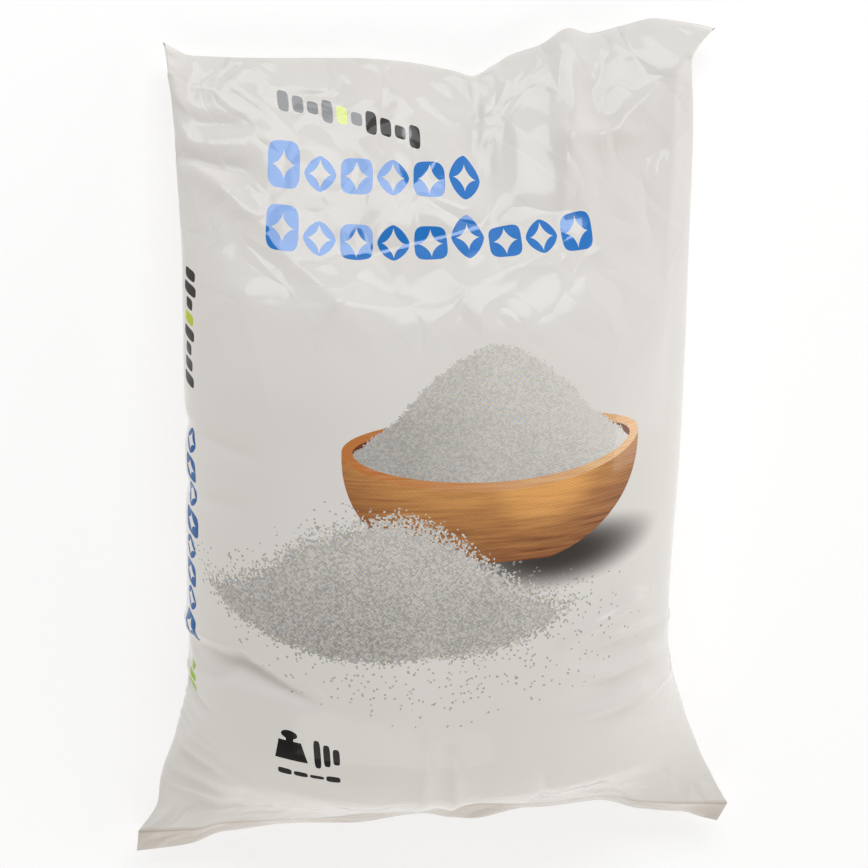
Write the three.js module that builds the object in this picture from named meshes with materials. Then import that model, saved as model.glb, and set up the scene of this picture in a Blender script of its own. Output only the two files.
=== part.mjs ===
// A one-kilogram bag of sugar lying on its back, its printed side up: a pillow of plastic film, filled
// tight and sealed flat across both ends. Film, seals and fill are one solid, because a shut bag can't be
// seen into.
//
// Millimetres. +X runs to the right of the printed side, +Y to the top seal and +Z up, out of the printed
// side. The form is first laid out from a point inside the bag, and then moved so that the middle of its
// outline is at the origin, with the floor at z = 0.

import * as THREE from "three";

// ---- Driving dimensions -------------------------------------------------------------------------------

const SEAL_THICKNESS = 0.8; // both films of a seal with the crinkles pressed into them
const TOP_SEAL_LENGTH = 10.0; // of film, from the seal's root to its cut edge
const BOTTOM_SEAL_LENGTH = 10.5;
const TOP_CORNER_FLARE = { left: 0.8, right: 8.3 }; // how far a seal's corner spreads past its root
const BOTTOM_CORNER_FLARE = { left: 0.4, right: -1.2 };
const CORNER_START = 0.86; // share of the half width where a corner starts to spread
const CORNER_CURL = 1.3; // power that makes the corner turn out late
const SEAL_WAVE = { height: 0.5, count: 5.5 }; // the seals ripple a little along their length

const SIDE_ROUNDNESS = 2.35; // power of the cross section's superellipse across the bag
const BACK_BOXINESS = 0.8; // the back fills out to its sides sooner than the front
const FLOOR_BLEND = 2.0; // how far above the floor the back starts to round into the flat it lies on
const SEAL_SPREAD = 0.5; // power that keeps the seal's thickness almost even up to its side edge

const FRONT_COLUMNS = 40; // facets across the front, and as many across the back
const BODY_ROWS = 60; // facets from the bottom seal to the top seal
const TOP_SEAL_ROWS = 2;
const BOTTOM_SEAL_ROWS = 3;

// Rails: [share of the film's length from the bottom seal to the top seal, millimetres].
const CROWN_Y = [
  [0, -118.5], [0.03, -115.7], [0.07, -112.8], [0.13, -106.5], [0.22, -90], [0.36, -56], [0.5, -21],
  [0.72, 31], [0.9, 73], [1, 98.5],
];
const CROWN_Z = [
  [0, 15], [0.03, 22], [0.07, 31], [0.13, 42], [0.22, 51], [0.36, 56.5], [0.5, 57], [0.62, 55],
  [0.72, 49.5], [0.82, 38], [0.9, 27.5], [1, 12.6],
];
const LEFT_X = [
  [0, -86.6], [0.035, -80.6], [0.07, -78.4], [0.13, -74.2], [0.22, -71.6], [0.5, -71.7], [0.82, -71.4],
  [0.9, -71.8], [1, -74.4],
];
const RIGHT_X = [
  [0, 94.5], [0.035, 88.9], [0.07, 83.6], [0.13, 77.8], [0.22, 72.9], [0.3, 71.6], [0.36, 71.9],
  [0.5, 73.8], [0.72, 76.4], [1, 79.8],
];
const SIDE_Y = [[0, -118.5], [0.07, -101], [0.22, -70], [0.5, -6], [0.72, 45], [0.9, 82], [1, 98.5]];
const SIDE_Z = [[0, 12.5], [0.22, 22], [0.5, 24.5], [0.72, 22], [0.9, 15], [1, 12]];
const BACK_Y = [[0, -118.5], [0.07, -100], [0.22, -69], [0.5, -5], [0.72, 44], [0.9, 82], [1, 98.5]];
// The back rail runs under the floor where the bag lies flat on it.
const BACK_Z = [
  [0, 14.6], [0.03, 9], [0.07, 3], [0.13, -3], [0.22, -6], [0.5, -7], [0.82, -5], [0.9, -3], [0.96, 3],
  [1, 12.6],
];
// How the front rises from the side to the crown: a power over 2 is a thin edge, one near 1 a round side.
const EDGE_POWER = [
  [0, 2.6], [0.07, 1.7], [0.13, 1.3], [0.22, 1.02], [0.36, 0.9], [0.62, 0.92], [0.82, 1.2], [0.9, 1.5],
  [1, 2.4],
];

// The ends, by [share of the half width from the left side to the right side, millimetres].
// How far they rise and fall:
const TOP_EDGE = [
  [-1, 5.2], [-0.9, 1.1], [-0.67, 0.4], [-0.3, 0.2], [-0.1, -1], [0.08, -3.7], [0.16, -5.6], [0.23, -2.9],
  [0.31, 0.9], [0.42, 3.8], [0.53, 8.5], [0.61, 7], [0.73, 9], [0.86, 11.2], [1, 8],
];
const BOTTOM_EDGE = [
  [-1, -2.6], [-0.82, -2.5], [-0.72, -0.9], [-0.4, -0.5], [0, 0.9], [0.14, 1.5], [0.33, 0.5], [0.56, 1.9],
  [0.7, -0.6], [0.86, -2.1], [1, -2.8],
];
// How far the seals' cut edges lie past their roots, seen from above. The rest of the film hangs down.
const TOP_SEAL_REACH = [[-1, 8.7], [1, 8.7]];
const BOTTOM_SEAL_REACH = [
  [-1, 8.2], [-0.85, 7.5], [-0.7, 5.6], [-0.5, 4.5], [-0.25, 5.3], [-0.05, 4.4], [0.05, 6.1], [0.14, 7],
  [0.33, 4.4], [0.6, 4.5], [0.7, 5.1], [0.86, 5.4], [0.94, 7], [1, 8],
];
const TOP_EDGE_REACH = 0.2; // share of the film's length over which the top edge's rise and fall fades out
const BOTTOM_EDGE_REACH = 0.16;

// Folds of the film. Each runs from its root to its tip, where it fades to nothing. A height over zero is a
// ridge and one under zero a valley, and the two widths are those on the left and the right of its run.
const FOLDS = [
  // The slack film under the top seal.
  { name: "left ear, upper", root: [-75, 103], tip: [-63, 68], height: 1.5, widths: [4, 3] },
  { name: "left ear, lower", root: [-66, 78], tip: [-47, 60], height: 1.2, widths: [3, 4] },
  { name: "left notch", root: [-74, 81], tip: [-58, 77], height: -1.8, widths: [3, 3] },
  { name: "dip in the top edge", root: [19, 98], tip: [-8, 68], height: 1.7, widths: [3, 5] },
  { name: "crease below the dip", root: [18, 92], tip: [12, 68], height: 1.0, widths: [2.5, 2.5] },
  { name: "facet, down", root: [41, 85], tip: [36, 60], height: 1.5, widths: [4.5, 2.5] },
  { name: "facet, across", root: [41, 85], tip: [64, 87], height: 1.0, widths: [3, 4] },
  { name: "right ear", root: [80, 109], tip: [44, 78], height: 1.9, widths: [4, 5] },
  { name: "right face, upper", root: [74, 104], tip: [66, 36], height: 1.2, widths: [4, 3] },
  // The shoulder where the slack film meets the fill.
  { name: "apex, left", root: [-29, 41], tip: [-49, 59], height: 1.1, widths: [4, 3] },
  { name: "apex, right", root: [-29, 41], tip: [-8, 70], height: 1.3, widths: [3, 4.5] },
  { name: "shoulder, left", root: [-30, 40], tip: [4, 39], height: 0.9, widths: [3, 7] },
  { name: "shoulder, right", root: [8, 44], tip: [46, 60], height: 1.0, widths: [3, 6] },
  { name: "hollow over the shoulder", root: [-22, 54], tip: [44, 66], height: -2.0, widths: [9, 7] },
  { name: "left of the shoulder", root: [-57, 43], tip: [-47, 2], height: 0.9, widths: [5, 5] },
  // The lower half, where the sides draw in.
  { name: "left dimple", root: [-59, -63], tip: [-36, -74], height: -4.6, widths: [3, 5] },
  { name: "lip under the dimple", root: [-60, -70], tip: [-37, -76], height: 1.3, widths: [2, 5] },
  { name: "tuck at the dimple's end", root: [-69, -55], tip: [-54, -60], height: 1.6, widths: [3, 2] },
  { name: "left dent, upper", root: [-72, 4], tip: [-50, -4], height: -1.2, widths: [4, 4] },
  { name: "left dent, lower", root: [-72, -14], tip: [-54, -18], height: -1.0, widths: [4, 4] },
  { name: "right pucker, first", root: [56, -48], tip: [31, -59], height: 2.2, widths: [4, 2.5] },
  { name: "right pucker, second", root: [66, -56], tip: [44, -58], height: 1.8, widths: [3.5, 2.5] },
  { name: "right pucker, third", root: [61, -64], tip: [44, -70], height: 1.7, widths: [3, 2.5] },
  { name: "right pucker, fourth", root: [59, -76], tip: [36, -81], height: 1.7, widths: [4, 2.5] },
  { name: "right pucker, fifth", root: [67, -74], tip: [53, -84], height: 1.3, widths: [3, 2.5] },
  { name: "lower left ear", root: [-80, -106], tip: [-66, -80], height: 1.4, widths: [3, 4] },
  { name: "bottom crease, left", root: [-5, -112], tip: [-6, -74], height: 0.8, widths: [3, 3] },
  { name: "bottom crease, right", root: [5, -112], tip: [2, -86], height: 1.0, widths: [2.5, 2.5] },
  { name: "notch over the bottom seal", root: [33, -113], tip: [30, -96], height: -1.2, widths: [3, 3] },
];
const CREST = 0.8; // how round the crest of a fold is
const FOLD_TAPER = 0.6; // share of its width that a fold has lost at its tip
const FOLD_BACK_FADE = THREE.MathUtils.degToRad(30); // how far a fold runs round the side onto the back

// ---- Curves ------------------------------------------------------------------------------------------

const RIGHT_ANGLE = Math.PI / 2;

// A smooth curve through a rail's points that never overshoots them.
function railCurve(points) {
  const steps = points.length - 1;
  const widths = [];
  const slopes = [];
  for (let i = 0; i < steps; i++) {
    widths.push(points[i + 1][0] - points[i][0]);
    slopes.push((points[i + 1][1] - points[i][1]) / widths[i]);
  }
  const tangents = [slopes[0]];
  for (let i = 1; i < steps; i++) {
    const turns = slopes[i - 1] * slopes[i] <= 0;
    const mean = (widths[i - 1] + widths[i]) / (widths[i - 1] / slopes[i - 1] + widths[i] / slopes[i]);
    tangents.push(turns ? 0 : mean);
  }
  tangents.push(slopes[steps - 1]);
  return (at) => {
    let i = 0;
    while (i < steps - 1 && at > points[i + 1][0]) i++;
    const t = THREE.MathUtils.clamp((at - points[i][0]) / widths[i], 0, 1);
    const t2 = t * t;
    const t3 = t2 * t;
    const start = (2 * t3 - 3 * t2 + 1) * points[i][1] + (t3 - 2 * t2 + t) * widths[i] * tangents[i];
    const end = (3 * t2 - 2 * t3) * points[i + 1][1] + (t3 - t2) * widths[i] * tangents[i + 1];
    return start + end;
  };
}

const rails = {
  crownY: railCurve(CROWN_Y),
  crownZ: railCurve(CROWN_Z),
  leftX: railCurve(LEFT_X),
  rightX: railCurve(RIGHT_X),
  sideY: railCurve(SIDE_Y),
  sideZ: railCurve(SIDE_Z),
  backY: railCurve(BACK_Y),
  backZ: railCurve(BACK_Z),
  edgePower: railCurve(EDGE_POWER),
  topEdge: railCurve(TOP_EDGE),
  bottomEdge: railCurve(BOTTOM_EDGE),
  topReach: railCurve(TOP_SEAL_REACH),
  bottomReach: railCurve(BOTTOM_SEAL_REACH),
};

// The height over the floor, exactly zero where the bag lies flat on it.
function restOnFloor(z) {
  const share = THREE.MathUtils.clamp(0.5 + (0.5 * z) / FLOOR_BLEND, 0, 1);
  return z * share + FLOOR_BLEND * share * (1 - share);
}

// Where an angle across the bag lies, as a share of its half width from the left side to the right side.
function acrossShare(angle) {
  return Math.sign(angle) * Math.abs(Math.sin(angle)) ** (2 / SIDE_ROUNDNESS);
}

// ---- The pillow without its folds ----------------------------------------------------------------------

// A point of the film: its angle runs from the left side (-90 degrees) over the middle to the right side.
function pillowPoint(angle, along, isFront) {
  const across = acrossShare(angle);
  const cosine = Math.max(Math.cos(angle), 0);
  const power = rails.edgePower(along) * (isFront ? 1 : BACK_BOXINESS);
  const middleX = (rails.leftX(along) + rails.rightX(along)) / 2;
  const halfWidth = (rails.rightX(along) - rails.leftX(along)) / 2;
  const endY = isFront ? rails.crownY(along) : rails.backY(along);
  const endZ = isFront ? rails.crownZ(along) : rails.backZ(along);
  const sideY = rails.sideY(along);
  const sideZ = rails.sideZ(along);
  const topWave = THREE.MathUtils.smoothstep(along, 1 - TOP_EDGE_REACH, 1) * rails.topEdge(across);
  const bottomWave = (1 - THREE.MathUtils.smoothstep(along, 0, BOTTOM_EDGE_REACH)) * rails.bottomEdge(across);
  const halfThickness = (SEAL_THICKNESS / 2) * cosine ** SEAL_SPREAD;
  const y = sideY + (endY - sideY) * cosine ** Math.max(power, 1) + topWave + bottomWave;
  const z = sideZ + (endZ - sideZ) * cosine ** power + (isFront ? halfThickness : -halfThickness);
  return new THREE.Vector3(middleX + halfWidth * across, y, isFront ? z : restOnFloor(z));
}

// ---- Folds ---------------------------------------------------------------------------------------------

// How far all the folds together lift the film at a place seen from above.
function foldHeight(x, y) {
  let height = 0;
  for (const fold of FOLDS) {
    const runX = fold.tip[0] - fold.root[0];
    const runY = fold.tip[1] - fold.root[1];
    const length = Math.hypot(runX, runY);
    const alongRun = ((x - fold.root[0]) * runX + (y - fold.root[1]) * runY) / length;
    const besideRun = ((y - fold.root[1]) * runX - (x - fold.root[0]) * runY) / length;
    const share = THREE.MathUtils.clamp(alongRun / length, 0, 1);
    const pastEnd = alongRun - share * length;
    const distance = Math.hypot(besideRun, pastEnd, CREST) - CREST;
    const width = (besideRun > 0 ? fold.widths[0] : fold.widths[1]) * (1 - FOLD_TAPER * share);
    height += fold.height * (1 - share) * Math.exp(-distance / width);
  }
  return height;
}

// The direction straight out of the film.
function outward(angle, along, isFront) {
  const step = 0.01;
  const middle = THREE.MathUtils.clamp(angle, 2 * step - RIGHT_ANGLE, RIGHT_ANGLE - 2 * step);
  const low = Math.max(along - step, 0);
  const high = Math.min(along + step, 1);
  const right = pillowPoint(middle + step, along, isFront).sub(pillowPoint(middle - step, along, isFront));
  const up = pillowPoint(middle, high, isFront).sub(pillowPoint(middle, low, isFront));
  const normal = new THREE.Vector3().crossVectors(right, up).normalize();
  return isFront ? normal : normal.negate();
}

function filmPoint(angle, along, isFront) {
  const point = pillowPoint(angle, along, isFront);
  const fromSide = RIGHT_ANGLE - Math.abs(angle);
  const strength = isFront ? 1 : 1 - THREE.MathUtils.smoothstep(fromSide, 0, FOLD_BACK_FADE);
  if (strength > 0) {
    point.addScaledVector(outward(angle, along, isFront), strength * foldHeight(point.x, point.y));
    point.z = Math.max(point.z, 0);
  }
  return point;
}

// ---- The closed skin -----------------------------------------------------------------------------------

// One ring round the bag: over the front from left to right, and back under it.
function bodyRing(along) {
  const ring = [];
  for (let k = 0; k < 2 * FRONT_COLUMNS; k++) {
    const isFront = k <= FRONT_COLUMNS;
    const column = isFront ? k : 2 * FRONT_COLUMNS - k;
    ring.push(filmPoint(-RIGHT_ANGLE + (Math.PI * column) / FRONT_COLUMNS, along, isFront));
  }
  return ring;
}

// The same ring moved out along the flat seal, share 1 being the seal's cut edge.
function sealRing(root, share, direction, length, reach, flare) {
  return root.map((point, k) => {
    const column = k <= FRONT_COLUMNS ? k : 2 * FRONT_COLUMNS - k;
    const across = acrossShare(-RIGHT_ANGLE + (Math.PI * column) / FRONT_COLUMNS);
    const leftCorner = THREE.MathUtils.smoothstep(-across, CORNER_START, 1) * flare.left;
    const rightCorner = THREE.MathUtils.smoothstep(across, CORNER_START, 1) * flare.right;
    const ripple = SEAL_WAVE.height * Math.sin(Math.PI * SEAL_WAVE.count * across);
    const out = reach(across);
    const droop = Math.sqrt(length ** 2 - out ** 2) - ripple;
    return new THREE.Vector3(
      point.x + (rightCorner - leftCorner) * share ** CORNER_CURL,
      point.y + direction * out * share,
      point.z - droop * share,
    );
  });
}

function allRings() {
  const rings = [];
  const bottom = bodyRing(0);
  const top = bodyRing(1);
  for (let row = BOTTOM_SEAL_ROWS; row > 0; row--) {
    const share = row / BOTTOM_SEAL_ROWS;
    rings.push(sealRing(bottom, share, -1, BOTTOM_SEAL_LENGTH, rails.bottomReach, BOTTOM_CORNER_FLARE));
  }
  for (let row = 0; row <= BODY_ROWS; row++) rings.push(bodyRing(row / BODY_ROWS));
  for (let row = 1; row <= TOP_SEAL_ROWS; row++) {
    rings.push(sealRing(top, row / TOP_SEAL_ROWS, 1, TOP_SEAL_LENGTH, rails.topReach, TOP_CORNER_FLARE));
  }
  return rings;
}

function bagGeometry() {
  const rings = allRings();
  const around = 2 * FRONT_COLUMNS;
  const triangles = [];
  for (let row = 0; row + 1 < rings.length; row++) {
    for (let k = 0; k < around; k++) {
      const a = row * around + k;
      const b = row * around + ((k + 1) % around);
      triangles.push(a, b, b + around, a, b + around, a + around);
    }
  }
  // The cut edges of the two seals, each a strip between the front film and the back film.
  const topStart = (rings.length - 1) * around;
  for (let column = 0; column < FRONT_COLUMNS; column++) {
    const front = [column, column + 1];
    const back = [(around - column) % around, around - column - 1];
    // At its two ends the strip is a single triangle, as the films share the points of the bag's sides.
    if (column > 0) {
      triangles.push(topStart + front[0], topStart + back[1], topStart + back[0]);
      triangles.push(front[0], back[0], back[1]);
    }
    if (column + 1 < FRONT_COLUMNS) {
      triangles.push(topStart + front[0], topStart + front[1], topStart + back[1]);
      triangles.push(front[0], back[1], front[1]);
    }
  }
  const geometry = new THREE.BufferGeometry();
  const places = new Float32Array(rings.flat().flatMap((point) => point.toArray()));
  geometry.setAttribute("position", new THREE.BufferAttribute(places, 3));
  geometry.setIndex(triangles);
  return geometry;
}

// ---- The model -----------------------------------------------------------------------------------------

const printedFilm = new THREE.MeshStandardMaterial({ color: 0xdedbd8, roughness: 0.32, metalness: 0 });

function makeBag() {
  const geometry = bagGeometry();
  geometry.computeBoundingBox();
  const middle = geometry.boundingBox.getCenter(new THREE.Vector3());
  geometry.translate(-middle.x, -middle.y, 0);
  geometry.computeVertexNormals();
  const bag = new THREE.Mesh(geometry, printedFilm);
  bag.name = "bag";
  return bag;
}

const model = new THREE.Group();
model.add(makeBag());

export default model;
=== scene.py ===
"""A one-kilogram bag of sugar on its back: a pillow of printed plastic film, sealed flat across both ends.

The film is one sheet. It is wrapped round the fill, its long edges are joined down the back, and it is then
relaxed: every thread of it wants its own flat length, so that the film puckers wherever it has more length
than the bag below it.
"""

import math

import bpy
import numpy as np
from mathutils import Matrix, Vector


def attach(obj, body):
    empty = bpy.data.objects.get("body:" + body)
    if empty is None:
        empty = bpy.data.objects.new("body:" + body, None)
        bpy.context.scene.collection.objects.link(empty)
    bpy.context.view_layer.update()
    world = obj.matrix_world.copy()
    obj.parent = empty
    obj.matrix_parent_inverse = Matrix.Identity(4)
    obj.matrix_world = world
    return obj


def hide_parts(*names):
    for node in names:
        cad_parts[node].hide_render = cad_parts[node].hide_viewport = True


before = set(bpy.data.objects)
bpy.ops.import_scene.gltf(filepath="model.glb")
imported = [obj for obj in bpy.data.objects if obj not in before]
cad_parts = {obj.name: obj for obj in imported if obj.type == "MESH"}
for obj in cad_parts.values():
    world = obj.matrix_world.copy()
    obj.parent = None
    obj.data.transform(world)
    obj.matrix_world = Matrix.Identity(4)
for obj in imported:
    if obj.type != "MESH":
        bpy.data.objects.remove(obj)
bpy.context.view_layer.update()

MM = 0.001

# ---- The bag's form, in millimetres, as in the part's own source -----------------------------------------

SEAL_THICKNESS = 0.8  # of both layers, with the air between them
TOP_SEAL_LENGTH = 10.0
BOTTOM_SEAL_LENGTH = 10.5
TOP_CORNER_FLARE = (0.8, 8.3)  # left, right
BOTTOM_CORNER_FLARE = (0.4, -1.2)
CORNER_START = 0.86  # share of the way to the side where a seal starts to spread
CORNER_CURL = 1.3
SEAL_WAVE_HEIGHT = 0.5
SEAL_WAVE_COUNT = 5.5

SIDE_ROUNDNESS = 2.35
BACK_BOXINESS = 0.8  # how much fuller the back is than the front
FLOOR_BLEND = 2.0  # the height over which the back meets the floor
SEAL_SPREAD = 0.5
MIDDLE = (3.741, -5.382, 0)  # the middle of the outline, which is the frame's origin

# Rails: (share of the film's length from the bottom seal to the top seal, millimetres).
CROWN_Y = (
    (0, -118.5), (0.03, -115.7), (0.07, -112.8), (0.13, -106.5), (0.22, -90), (0.36, -56), (0.5, -21),
    (0.72, 31), (0.9, 73), (1, 98.5),
)
CROWN_Z = (
    (0, 15), (0.03, 22), (0.07, 31), (0.13, 42), (0.22, 51), (0.36, 56.5), (0.5, 57), (0.62, 55),
    (0.72, 49.5), (0.82, 38), (0.9, 27.5), (1, 12.6),
)
LEFT_X = (
    (0, -86.6), (0.035, -80.6), (0.07, -78.4), (0.13, -74.2), (0.22, -71.6), (0.5, -71.7), (0.82, -71.4),
    (0.9, -71.8), (1, -74.4),
)
RIGHT_X = (
    (0, 94.5), (0.035, 88.9), (0.07, 83.6), (0.13, 77.8), (0.22, 72.9), (0.3, 71.6), (0.36, 71.9),
    (0.5, 73.8), (0.72, 76.4), (1, 79.8),
)
SIDE_Y = ((0, -118.5), (0.07, -101), (0.22, -70), (0.5, -6), (0.72, 45), (0.9, 82), (1, 98.5))
SIDE_Z = ((0, 12.5), (0.22, 22), (0.5, 24.5), (0.72, 22), (0.9, 15), (1, 12))
BACK_Y = ((0, -118.5), (0.07, -100), (0.22, -69), (0.5, -5), (0.72, 44), (0.9, 82), (1, 98.5))
BACK_Z = (
    (0, 14.6), (0.03, 9), (0.07, 3), (0.13, -3), (0.22, -6), (0.5, -7), (0.82, -5), (0.9, -3), (0.96, 3),
    (1, 12.6),
)
EDGE_POWER = (
    (0, 2.6), (0.07, 1.7), (0.13, 1.3), (0.22, 1.02), (0.36, 0.9), (0.62, 0.92), (0.82, 1.2), (0.9, 1.5),
    (1, 2.4),
)
TOP_EDGE = (
    (-1, 5.2), (-0.9, 1.1), (-0.67, 0.4), (-0.3, 0.2), (-0.1, -1), (0.08, -3.7), (0.16, -5.6), (0.23, -2.9),
    (0.31, 0.9), (0.42, 3.8), (0.53, 8.5), (0.61, 7), (0.73, 9), (0.86, 11.2), (1, 8),
)
BOTTOM_EDGE = (
    (-1, -2.6), (-0.82, -2.5), (-0.72, -0.9), (-0.4, -0.5), (0, 0.9), (0.14, 1.5), (0.33, 0.5), (0.56, 1.9),
    (0.7, -0.6), (0.86, -2.1), (1, -2.8),
)
# How far the seals' cut edges lie past their roots, seen from above; the rest of their length hangs down.
TOP_SEAL_REACH = ((-1, 8.7), (1, 8.7))
BOTTOM_SEAL_REACH = (
    (-1, 8.2), (-0.85, 7.5), (-0.7, 5.6), (-0.5, 4.5), (-0.25, 5.3), (-0.05, 4.4), (0.05, 6.1), (0.14, 7),
    (0.33, 4.4), (0.6, 4.5), (0.7, 5.1), (0.86, 5.4), (0.94, 7), (1, 8),
)
TOP_EDGE_REACH = 0.2
BOTTOM_EDGE_REACH = 0.16

# Folds: root, tip, height, width on the left of the run, width on its right.
FOLDS = (
    ((-75, 103), (-63, 68), 1.5, 4, 3),      # left ear, upper
    ((-66, 78), (-47, 60), 1.2, 3, 4),       # left ear, lower
    ((-74, 81), (-58, 77), -1.8, 3, 3),      # left notch
    ((19, 98), (-8, 68), 1.7, 3, 5),         # dip in the top edge
    ((18, 92), (12, 68), 1.0, 2.5, 2.5),     # crease below the dip
    ((41, 85), (36, 60), 1.5, 4.5, 2.5),     # facet, down
    ((41, 85), (64, 87), 1.0, 3, 4),         # facet, across
    ((80, 109), (44, 78), 1.9, 4, 5),        # right ear
    ((74, 104), (66, 36), 1.2, 4, 3),        # right face, upper
    ((-29, 41), (-49, 59), 1.1, 4, 3),       # apex, left
    ((-29, 41), (-8, 70), 1.3, 3, 4.5),      # apex, right
    ((-30, 40), (4, 39), 0.9, 3, 7),         # shoulder, left
    ((8, 44), (46, 60), 1.0, 3, 6),          # shoulder, right
    ((-22, 54), (44, 66), -2.0, 9, 7),       # hollow over the shoulder
    ((-57, 43), (-47, 2), 0.9, 5, 5),        # left of the shoulder
    ((-59, -63), (-36, -74), -4.6, 3, 5),    # left dimple
    ((-60, -70), (-37, -76), 1.3, 2, 5),     # lip under the dimple
    ((-69, -55), (-54, -60), 1.6, 3, 2),     # tuck at its end
    ((-72, 4), (-50, -4), -1.2, 4, 4),       # left dent, upper
    ((-72, -14), (-54, -18), -1.0, 4, 4),    # left dent, lower
    ((56, -48), (31, -59), 2.2, 4, 2.5),     # right pucker, first
    ((66, -56), (44, -58), 1.8, 3.5, 2.5),   # right pucker, second
    ((61, -64), (44, -70), 1.7, 3, 2.5),     # right pucker, third
    ((59, -76), (36, -81), 1.7, 4, 2.5),     # right pucker, fourth
    ((67, -74), (53, -84), 1.3, 3, 2.5),     # right pucker, fifth
    ((-80, -106), (-66, -80), 1.4, 3, 4),    # lower left ear
    ((-5, -112), (-6, -74), 0.8, 3, 3),      # bottom crease, left
    ((5, -112), (2, -86), 1.0, 2.5, 2.5),    # bottom crease, right
    ((33, -113), (30, -96), -1.2, 3, 3),     # notch over the bottom seal
)
CREST = 0.8  # how round a fold's crest is
FOLD_TAPER = 0.6
FOLD_BACK_FADE = math.radians(30)  # how far a fold runs on under the side
NORMAL_STEP = 0.01  # the span over which the pillow's direction is measured
ROW_SAMPLES = 600  # the points by which the length of a row is measured

# ---- The film as a sheet, in millimetres -----------------------------------------------------------------

FILM_ROUND = 349.6  # once round the bag
FILM_LENGTH = 242.0  # between the two seals
SHEET_LENGTH = FILM_LENGTH + TOP_SEAL_LENGTH + BOTTOM_SEAL_LENGTH
COLUMNS = 352  # quads round the bag
BODY_ROWS = 240
SEAL_ROWS = 8

# Where the film has more length than the pillow below it: the middle, the radii, and the share by which it is
# longer along the bag and across it.
SLACK = (
    ((51, -66), (15, 21), 0.21, 0.02),   # right puckers
    ((-55, -66), (18, 11), 0.20, 0.02),  # left dimple
    ((-62, 80), (14, 14), 0.13, 0.03),   # left notch
    ((-62, -4), (16, 20), 0.05, 0.0),    # left dents
    ((0, 84), (90, 18), 0.0, 0.045),     # under the top seal
    ((10, 50), (36, 12), 0.06, 0.04),    # shoulder
    ((-74, -96), (14, 18), 0.10, 0.10),  # lower left ear
    ((78, -96), (14, 18), 0.06, 0.06),   # lower right ear
    ((0, -108), (60, 12), 0.0, 0.04),    # over the bottom seal
    ((58, 84), (18, 22), 0.05, 0.05),    # upper right ear
)
SLACK_EVERYWHERE = 0.003

# The relaxing: grid step, rounds, and how far a round spreads a bulge, for each pass from coarse to fine.
PASSES = ((4, 260, 0.03), (2, 220, 0.04), (1, 50, 0.05))
THREAD_STIFFNESS = (0.95, 0.6)  # where a thread is too long, and where it is too short
DIAGONAL_STIFFNESS = (0.3, 0.3)
SHORTEST = 1e-6  # of the lengths that are divided by
FILL_START = 0.74  # share of the length where the fill ends and the film over it starts to hang free
FILL_END = 0.84  # and where it hangs free altogether
FILL_GIVE = 0.3  # how far a fold may press into the fill
FREE_GIVE = 3.0  # and how far where there is none
MOST_LIFT = 5.0
CLING = 0.004  # how strongly the film is drawn to the fill
FREE_CLING = 0.001
SEAL_CLING = 0.06
SEAL_HOLD = 0.05  # share of the length over which a seal holds the film beside it in place
BACK_CLING = 0.05
BACK_LIMIT = -0.35  # cosine of the way round the bag, past which the film lies against the floor
FIRST_RIPPLE = 0.8  # the unevenness that the folds start from
RIPPLE_ROUNDS = 2  # how often it is smoothed
SEED = 7

SHEET_MAP = "sheet"
LAP_WIDTH = 9.0  # the back's long seam
LAP_EDGE = 0.8  # over which the film steps up beside it
LAP_THICKNESS = 0.25
CUT_EDGE_ANGLE = math.radians(80)  # the film is smooth up to its cut edges
WELD_DISTANCE = 1e-6  # in metres

# ---- Print, on the sheet in millimetres: s from the front's middle line, t from the bottom seal -----------

SIDE_LINE = -80.5  # the middle line of what is printed down the left side
BOWL_MIDDLE = (12.0, 141.0)  # of its rim
BOWL_RADIUS = 43.0
BOWL_DEPTH = 33.0
BOWL_ROUNDNESS = 2.3
BOWL_FOOT = 0.955  # the share of its depth at which it stands on the table
RIM_HEIGHT = 11.0
RIM_WIDTH = (3.0, 2.6)  # at its sides, and at its front and back
BOWL_SHADOW = (18.0, -31.0, 36.0, 11.0)  # its middle, from the rim's, and its radii
BOWL_GLOSS = (14.0, -10.0, 17.0, 15.0)
HEAP_HEIGHT = 31.0
HEAP_ROUND = 12.0
HEAP_SLOPE = 1.08
HEAP_SWAY = 6.0  # how far its slopes wander
HEAP_ROUGH = (2.0, 1.5)  # how far clumps and single grains stand out from it
HEAP_LIGHT = (0.66, 110.0, 160.0)  # in its middle, and the way to the right and up that makes it lighter by 1
SPILL_MIDDLE = (-18.0, 97.0)
SPILL_RADIUS = 54.0
SPILL_HEIGHT = 28.0
SPILL_DEPTH = 15.5
SPILL_EDGE = 0.08  # how deep the pile is at its edge
SPILL_SWAY = (8.0, 3.0)
SPILL_ROUGH = (0.12, 0.28)
SPILL_LIGHT = (0.55, 0.1, 110.0, 0.12)  # in its middle, gain to the right, way up for 1, loss with depth
LOOSE_GRAINS = (-4.0, 88.0, 66.0, 26.0)  # their middle on the sheet, and their radii
GRAINS_PER_MM = 1.9
DOT_PITCH = 1.06
DOT_SLANT = math.radians(15)
DOT_INKS = (0.36, 0.04, -0.34)  # how much a dot takes from red, green and blue

# Rows of tiles: start, pitch, half height, how many from one tall tile to the next, how much taller it is.
FRONT_TILES = (-56.5, 11.4, 4.85, 5, 3.5)
SIDE_TILES = (70.0, 8.0, 3.6, 4, 1.6)
FRONT_TILE_ROWS = ((9, 201.2), (6, 219.0))  # how many, and their middle line
ROWS_MEET = 210.5  # the line between the two rows
SIDE_TILE_COUNT = 8
TILE_WIDTH = 0.44  # half of it, as a share of the pitch
SQUARE_TILE = 4.0  # the power of its superellipse
POINTED_TILE = 1.5
SPARKLE_SIZE = (0.33, 0.37)  # its half width and half height, as shares of the pitch
SPARKLE_POWER = 0.66

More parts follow.
